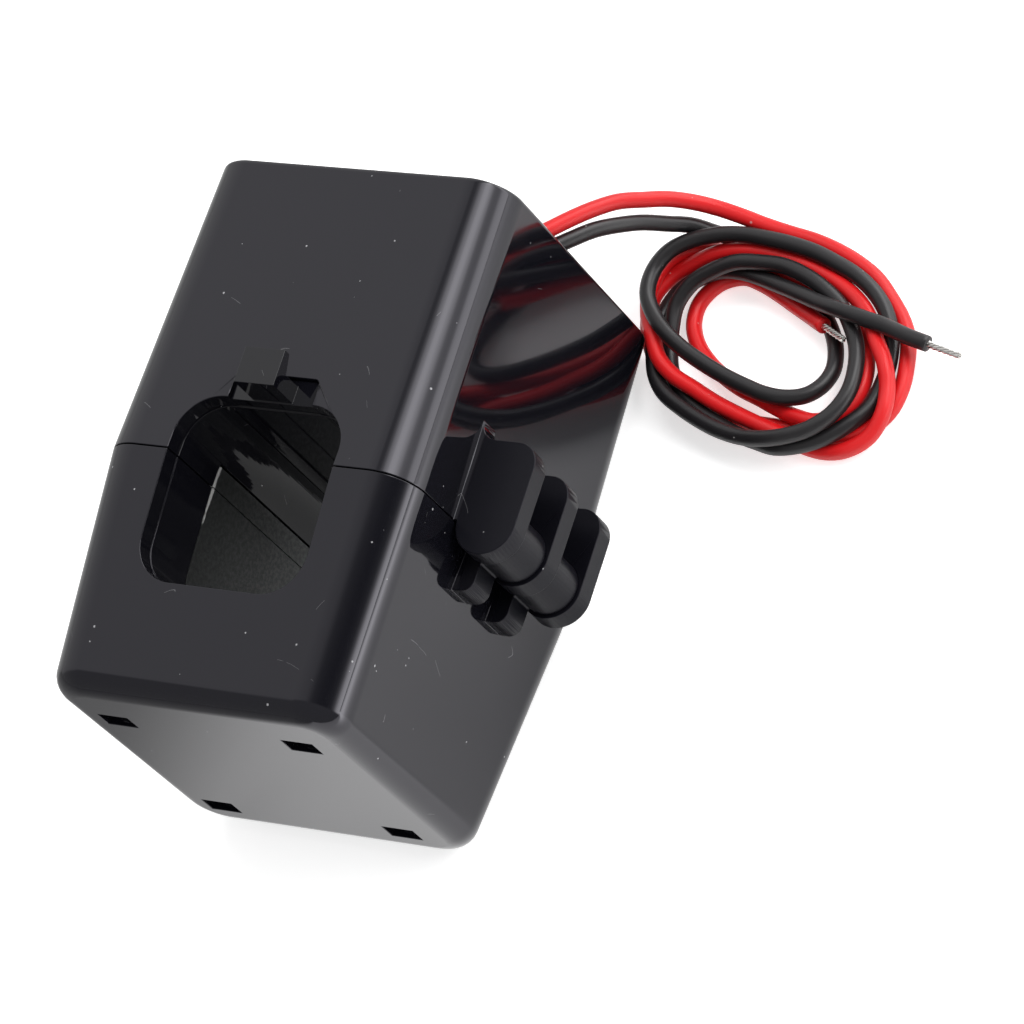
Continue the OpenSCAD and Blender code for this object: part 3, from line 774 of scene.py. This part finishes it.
def winding_tree():
    """Turns of round wire side by side round the yoke"""
    tree, given, result = new_tree(
        "layer_of_turns",
        (
            ("Turns", "Int"),
            ("Width", "Float"),
            ("Depth", "Float"),
            ("Height", "Float"),
            ("Corner", "Float"),
            ("Place", "Vector"),
        ),
    )
    loop = node(
        tree,
        "GeometryNodeCurvePrimitiveQuadrilateral",
        Width=given["Depth"],
        Height=given["Height"],
    )
    bend = node(
        tree,
        "GeometryNodeFilletCurve",
        mode="POLY",
        Count=4,
        Curve=loop.outputs[0],
        Radius=given["Corner"],
    )
    pitch = math_node(tree, "DIVIDE", given["Width"], given["Turns"])
    turn = round_bar(tree, bend.outputs[0], times(tree, pitch, WIRE_SHARE))
    offset = node(tree, "ShaderNodeCombineXYZ", X=pitch)
    row = node(
        tree,
        "GeometryNodeMeshLine",
        Count=given["Turns"],
        Start_Location=given["Place"],
        Offset=offset.outputs[0],
    )
    copies = node(
        tree,
        "GeometryNodeInstanceOnPoints",
        Points=row.outputs[0],
        Instance=turn,
        Rotation=(0, math.pi / 2, 0),
    )
    return finish_tree(tree, copies.outputs[0], given, result)


def grown(name, tree, values):
    """A plain mesh piece grown by a node tree, its inputs set by socket identifier"""
    piece = add_object(name, bpy.data.meshes.new(name))
    grow = piece.modifiers.new("grow", "NODES")
    grow.node_group = tree
    for item in tree.interface.items_tree:
        if item.in_out == "INPUT" and item.name in values:
            grow[item.identifier] = values[item.name]
    settle(piece)
    piece.data.name = name
    return piece


# ---- Operators ----------------------------------------------------------------------------------

# Each lead: name, route, length, the nodes that it replaces and the node of its bare end.
LEADS = (
    ("black", BLACK_ROUTE, 0.226, ("black_lead", "black_tail"), "black_tip"),
    ("red", RED_ROUTE, 0.2325, ("red_lead", "red_tail", "lead_coil"), "red_tip"),
)
# Solids that keep their shape: node, finish, its two colours, roughness, scale and depth of grain.
PLAIN_FINISHES = (
    ("bobbin", "bobbin_nylon", (0.7, 0.66, 0.54), (0.82, 0.8, 0.72), 0.5, 300.0, 0.00002),
    ("winding_tape", "polyester_tape", (0.68, 0.42, 0.04), (0.8, 0.56, 0.1), 0.3, 500.0, 0.00002),
    ("lead_board", "solder_board", (0.012, 0.11, 0.04), (0.03, 0.2, 0.08), 0.35, 700.0, 0.00002),
    ("core_pad", "foam_pad", (0.02, 0.02, 0.02), (0.07, 0.07, 0.07), 0.85, 900.0, 0.0002),
    ("lead_bush", "bush_rubber", (0.008,) * 3, (0.02, 0.02, 0.02), 0.45, 500.0, 0.00003),
)
PIN_FINISH = ("pin_steel", (0.4, 0.4, 0.41), (0.62, 0.62, 0.63), 0.3, 1500.0, 0.00001)
COPPER_FINISH = ("enamelled_copper", (0.42, 0.13, 0.04), (0.62, 0.24, 0.08), 0.28, 900.0, 0.00001)
# The lining and the carriers have finer edges than the housing, by this factor.
INNER_ROUND = 0.6


class OBJECT_OT_transformer_leads(bpy.types.Operator):
    """Lay out the red and the black lead, from the bush to their bare ends"""

    bl_idname = "transformer.leads"
    bl_label = "Leads"

    def execute(self, context):
        size = sizes()
        strands = bpy.data.node_groups.get("twisted_strands") or strand_tree()
        tin = paint_tin()
        for name, route, length, replaced, tip in LEADS:
            line = smooth_route(route, 5)
            mesh = tube_mesh(f"{name}_cord", line, size.lead_diameter / 2)
            skin = paint_insulation(f"{name}_insulation", tuple(getattr(colours(), name)), 0.38)
            mesh.materials.append(skin)
            cord = add_piece(f"{name}_cord", mesh, "fixed_half")
            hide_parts(*replaced)
            ahead = (line[-1] - line[-3]).normalized()
            bare = grown(
                f"{name}_strands",
                strands,
                {
                    "Strands": size.strand_count,
                    "Strand Radius": size.strand_radius,
                    "Length": size.strand_length,
                    "Twists": 1.1,
                    "Place": tuple(line[-1] - ahead * 0.3 * MM),
                    "Turn": tuple(ahead.to_track_quat("Z", "Y").to_euler()),
                    "Material": tin,
                },
            )
            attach(bare, "fixed_half")
            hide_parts(tip)
            finish_solid(f"inner_lead_{name}", skin)
        return {"FINISHED"}


class OBJECT_OT_transformer_housing(bpy.types.Operator):
    """Give both halves of the housing round moulded edges and their gloss"""

    bl_idname = "transformer.housing"
    bl_label = "Housing"

    def execute(self, context):
        gloss = paint_housing()
        moulded_copy("fixed_shell", "fixed_case", gloss, sizes().edge_round)
        moulded_copy("moving_shell", "moving_case", gloss, sizes().edge_round)
        return {"FINISHED"}


class OBJECT_OT_transformer_lining(bpy.types.Operator):
    """Give the window's lining and its hook their gloss"""

    bl_idname = "transformer.lining"
    bl_label = "Window lining"

    def execute(self, context):
        edge = sizes().edge_round * INNER_ROUND
        moulded_copy("window_lining", "window_saddle", paint_lining(), edge)
        return {"FINISHED"}


class OBJECT_OT_transformer_carriers(bpy.types.Operator):
    """Give the two matt carriers their grain and soft edges"""

    bl_idname = "transformer.carriers"
    bl_label = "Core carriers"

    def execute(self, context):
        matt = paint_carrier(BURR_HIGHLIGHT_HEIGHT)
        edge = sizes().edge_round * INNER_ROUND
        moulded_copy("upper_carrier", "fixed_carrier", matt, edge)
        moulded_copy("lower_carrier", "core_carrier", matt, edge)
        return {"FINISHED"}


class OBJECT_OT_transformer_core(bpy.types.Operator):
    """Finish the core, the bobbin, the tape, the board and the pad"""

    bl_idname = "transformer.core"
    bl_label = "Core and bobbin"

    def execute(self, context):
        steel = paint_core()
        finish_solid("fixed_core", steel)
        finish_solid("moving_core", steel)
        for cad_name, *finish in PLAIN_FINISHES:
            finish_solid(cad_name, paint_plain(*finish))
        finish_solid("hinge_pin", paint_plain(*PIN_FINISH, Metallic=1.0))
        return {"FINISHED"}


class OBJECT_OT_transformer_winding(bpy.types.Operator):
    """Wind the outermost layer of enamelled wire on the bobbin"""

    bl_idname = "transformer.winding"
    bl_label = "Winding"

    def execute(self, context):
        low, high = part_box("winding")
        low, high = Vector(low), Vector(high)
        turns = sizes().winding_turns
        wire = WIRE_SHARE * (high.x - low.x) / turns
        middle = (low + high) / 2
        copper = paint_plain(*COPPER_FINISH, Metallic=1.0)
        layer = grown(
            "winding_layer",
            winding_tree(),
            {
                "Turns": turns,
                "Width": high.x - low.x - 2 * wire,
                "Depth": high.z - low.z - 2 * wire,
                "Height": high.y - low.y - 2 * wire,
                "Corner": 1.5 * MM,
                "Place": (low.x + wire * 1.9, middle.y, middle.z),
                "Material": copper,
            },
        )
        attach(layer, "fixed_half")
        finish_solid("winding", copper)
        return {"FINISHED"}


class OBJECT_OT_transformer_stage(bpy.types.Operator):
    """Make the floor, the lamps and the camera"""

    bl_idname = "transformer.stage"
    bl_label = "Stage"

    def execute(self, context):
        lay_floor()
        hang_lamps()
        stand_camera()
        return {"FINISHED"}


# ---- Stage --------------------------------------------------------------------------------------

FLOOR_REACH = 2.0
# How strongly the floor glows: to the eye, for light in general, and below the window.
EYE_GLOW = 0.6
TABLE_GLOW = 0.4
WINDOW_GLOW = 2.6
# Half the width of the window's bright patch, at its inner and outer edge.
WINDOW_PATCH = (0.0075, 0.0088)
# What gloss mirrors of the floor: an even level, and parts that add to it. A part is the product
# of smooth steps, each an axis, where it starts and ends, and its levels there.
MIRRORED_LEVEL = 0.17
MIRRORED_PARTS = (
    # Bright before the moving half's end.
    (("X", -0.035, 0.0, 0.0, 0.6), ("Y", -0.014, -0.02)),
    # Dim below the housing, up to the hinge's side.
    (("X", 0.008, 0.016, 0.25, 0.0), ("Y", -0.02, -0.014)),
    # Brightest far out to the right.
    (("X", 0.035, 0.19, 0.0, 4.6), ("Y", 0.02, 0.08, 1.0, 0.2), ("Y", -0.12, -0.04)),
)


def paths(tree):
    """1 for what the camera sees directly or through something clear, and 1 for what gloss mirrors"""
    path = tree.nodes.new("ShaderNodeLightPath").outputs
    eye = math_node(tree, "MAXIMUM", path["Is Camera Ray"], path["Is Transmission Ray"])
    return eye, path["Is Glossy Ray"]


def lay_floor():
    """White paper that keeps the object's shadow, and that gloss mirrors as set out above"""
    mesh = bpy.data.meshes.new("floor")
    corners = [(x * FLOOR_REACH, y * FLOOR_REACH, 0) for x, y in ((-1, -1), (1, -1), (1, 1), (-1, 1))]
    mesh.from_pydata(corners, [], [(0, 1, 2, 3)])
    floor = add_object("floor", mesh)
    material, tree, surface, place = new_material(
        "floor_paper", (1, 1, 1), 0.9, Specular_IOR_Level=0.0, Emission_Color=(1, 1, 1, 1)
    )
    eye, gloss = paths(tree)
    place = axes(tree, place)
    x, y = place["X"], place["Y"]
    mirrored = MIRRORED_LEVEL
    for steps in MIRRORED_PARTS:
        part = 1.0
        for axis, *span in steps:
            part = times(tree, part, ramp(tree, place[axis], *span))
        mirrored = plus(tree, part, mirrored)
    # Gloss sees the floor itself darker on the left.
    dim = times(tree, gloss, ramp(tree, x, -0.03, -0.004, 0.75, 0.0))
    paper = blend_colour(tree, dim, (0.82, 0.82, 0.82), (0.0, 0.0, 0.0))
    put(tree, surface["Base Color"], paper)
    # The table glows a little on all sides, and more below the conductor window.
    beside = math_node(
        tree, "MAXIMUM", math_node(tree, "ABSOLUTE", x), math_node(tree, "ABSOLUTE", y)
    )
    lit = ramp(tree, beside, *WINDOW_PATCH, WINDOW_GLOW, TABLE_GLOW)
    rest = minus(tree, minus(tree, 1.0, eye), gloss, clamp=True)
    seen = math_node(tree, "MULTIPLY_ADD", eye, EYE_GLOW, times(tree, rest, lit))
    put(tree, surface["Emission Strength"], plus(tree, seen, times(tree, gloss, mirrored)))
    mesh.materials.append(material)


# Each lamp: name, place, width, height and power.
LAMPS = (
    ("overhead", (-0.04, 0.34, 0.72), 0.58, 0.22, 2.4),
    ("side", (0.56, 0.23, 0.52), 0.58, 0.3, 4.2),
    ("front", (-0.1, -0.75, 0.5), 0.5, 0.3, 1.0),
)
LAMPS_AIM = (0.01, 0.01, 0.01)
# Level of the mirrored studio by its angle in degrees from straight up towards +X,
# for level directions and for those that lean to +Y. The curves start at SKY_START and are
# SKY_SPAN wide, and their levels go up to SKY_MOST.
SKY_START, SKY_SPAN, SKY_MOST = -90, 270, 6.0
LEVEL_SKY = (
    (-90, 0.68), (-4, 0.7), (6, 0.5), (14, 0.3), (22, 0.2), (62, 0.2), (70, 0.6), (77, 2.1),
    (85, 4.8), (93, 5.6),
)
LEANING_SKY = (
    (-90, 0.7), (-11, 0.86), (-3, 0.5), (5, 1.0), (13, 2.7), (21, 4.2), (30, 5.6), (38, 4.8),
    (46, 3.2), (54, 1.8), (62, 1.6), (71, 2.8), (79, 3.8), (87, 4.0), (95, 3.4),
)
# Level of the room's even grey in front, in gloss and for light in general.
FRONT_LEVEL = 0.4
ROOM_LEVEL = 0.5


def sky_curve(tree, turn, points):
    """Level of the mirrored studio at a turn, as a share of the curves' span"""
    curve = node(tree, "ShaderNodeFloatCurve", Value=turn)
    line = curve.mapping.curves[0]
    spots = [((angle - SKY_START) / SKY_SPAN, level / SKY_MOST) for angle, level in points]
    line.points[0].location = spots[0]
    line.points[1].location = (1, spots[-1][1])
    for spot in spots[1:]:
        line.points.new(*spot)
    curve.mapping.update()
    return times(tree, curve.outputs[0], SKY_MOST)


def hang_lamps():
    """Soft lamps, and a room that is white to the eye"""
    for name, place, wide, high, power in LAMPS:
        lamp = bpy.data.lights.new(name, "AREA")
        lamp.shape = "RECTANGLE"
        lamp.size = wide
        lamp.size_y = high
        lamp.energy = power
        thing = add_object(name, lamp)
        thing.location = place
        toward = Vector(LAMPS_AIM) - Vector(place)
        thing.rotation_euler = toward.to_track_quat("-Z", "Y").to_euler()
        thing.visible_glossy = False
    world = bpy.data.worlds.new("room")
    bpy.context.scene.world = world
    world.use_nodes = True
    tree = world.node_tree
    back = tree.nodes["Background"].inputs
    back["Color"].default_value = (1, 1, 1, 1)
    # In gloss the room has a white wall on one side, a dim ceiling and soft lamps.
    toward = axes(tree, tree.nodes.new("ShaderNodeTexCoord").outputs["Generated"])
    radians = math_node(tree, "ARCTAN2", toward["X"], toward["Z"])
    share = 180 / math.pi / SKY_SPAN
    turn = math_node(tree, "MULTIPLY_ADD", radians, share, -SKY_START / SKY_SPAN)
    lean = ramp(tree, toward["Y"], 0.2, 0.38)
    level = sky_curve(tree, turn, LEVEL_SKY)
    leaning = sky_curve(tree, turn, LEANING_SKY)
    mirrored = math_node(tree, "MULTIPLY_ADD", lean, minus(tree, leaning, level), level)
    # The lamps stand behind; the front of the room is an even grey.
    behind = ramp(tree, toward["Y"], -0.22, -0.04)
    above = minus(tree, mirrored, FRONT_LEVEL)
    mirrored = math_node(tree, "MULTIPLY_ADD", behind, above, FRONT_LEVEL)
    eye, gloss = paths(tree)
    plain = math_node(tree, "MULTIPLY_ADD", eye, 1.0 - ROOM_LEVEL, ROOM_LEVEL)
    change = times(tree, gloss, minus(tree, mirrored, ROOM_LEVEL))
    put(tree, back["Strength"], plus(tree, plain, change))
    bpy.context.scene.view_settings.view_transform = "Standard"


# The camera: its focal length in mm on a 36 mm sensor, its place and its three directions.
FOCAL_LENGTH = 199.55
CAMERA_PLACE = (0.270128, -0.151272, 0.410042)
CAMERA_RIGHT = (0.852396, 0.296768, -0.430522)
CAMERA_UP = (-0.097349, 0.899012, 0.426966)
CAMERA_BACK = (0.513754, -0.322034, 0.795205)


def stand_camera():
    camera = add_object("camera", bpy.data.cameras.new("camera"))
    camera.data.sensor_width = 36
    camera.data.lens = FOCAL_LENGTH
    turned = Matrix((CAMERA_RIGHT, CAMERA_UP, CAMERA_BACK)).transposed().to_4x4()
    camera.matrix_world = Matrix.Translation(CAMERA_PLACE) @ turned
    camera.data.clip_start = 0.05
    camera.data.clip_end = 10
    bpy.context.scene.camera = camera


STEPS = (
    OBJECT_OT_transformer_stage,
    OBJECT_OT_transformer_leads,
    OBJECT_OT_transformer_housing,
    OBJECT_OT_transformer_lining,
    OBJECT_OT_transformer_carriers,
    OBJECT_OT_transformer_core,
    OBJECT_OT_transformer_winding,
)


class VIEW3D_PT_transformer(bpy.types.Panel):
    """Sidebar panel of the transformer's settings and steps"""

    bl_label = "Current transformer"
    bl_idname = "VIEW3D_PT_transformer"
    bl_space_type = "VIEW_3D"
    bl_region_type = "UI"
    bl_category = "Transformer"

    def draw(self, context):
        column = self.layout.column()
        for settings in (context.scene.transformer_sizes, context.scene.transformer_colours):
            for name in settings.__annotations__:
                column.prop(settings, name)
        for step in STEPS:
            column.operator(step.bl_idname)


CLASSES = (TransformerSizes, TransformerColours, *STEPS, VIEW3D_PT_transformer)


def register():
    for cls in CLASSES:
        bpy.utils.register_class(cls)
    bpy.types.Scene.transformer_sizes = PointerProperty(type=TransformerSizes)
    bpy.types.Scene.transformer_colours = PointerProperty(type=TransformerColours)


def unregister():
    del bpy.types.Scene.transformer_colours
    del bpy.types.Scene.transformer_sizes
    for cls in reversed(CLASSES):
        bpy.utils.unregister_class(cls)


def main():
    register()
    bpy.ops.transformer.stage()
    bpy.ops.transformer.leads()
    bpy.ops.transformer.housing()
    bpy.ops.transformer.lining()
    bpy.ops.transformer.carriers()
    bpy.ops.transformer.core()
    bpy.ops.transformer.winding()


if __name__ == "__main__":
    main()
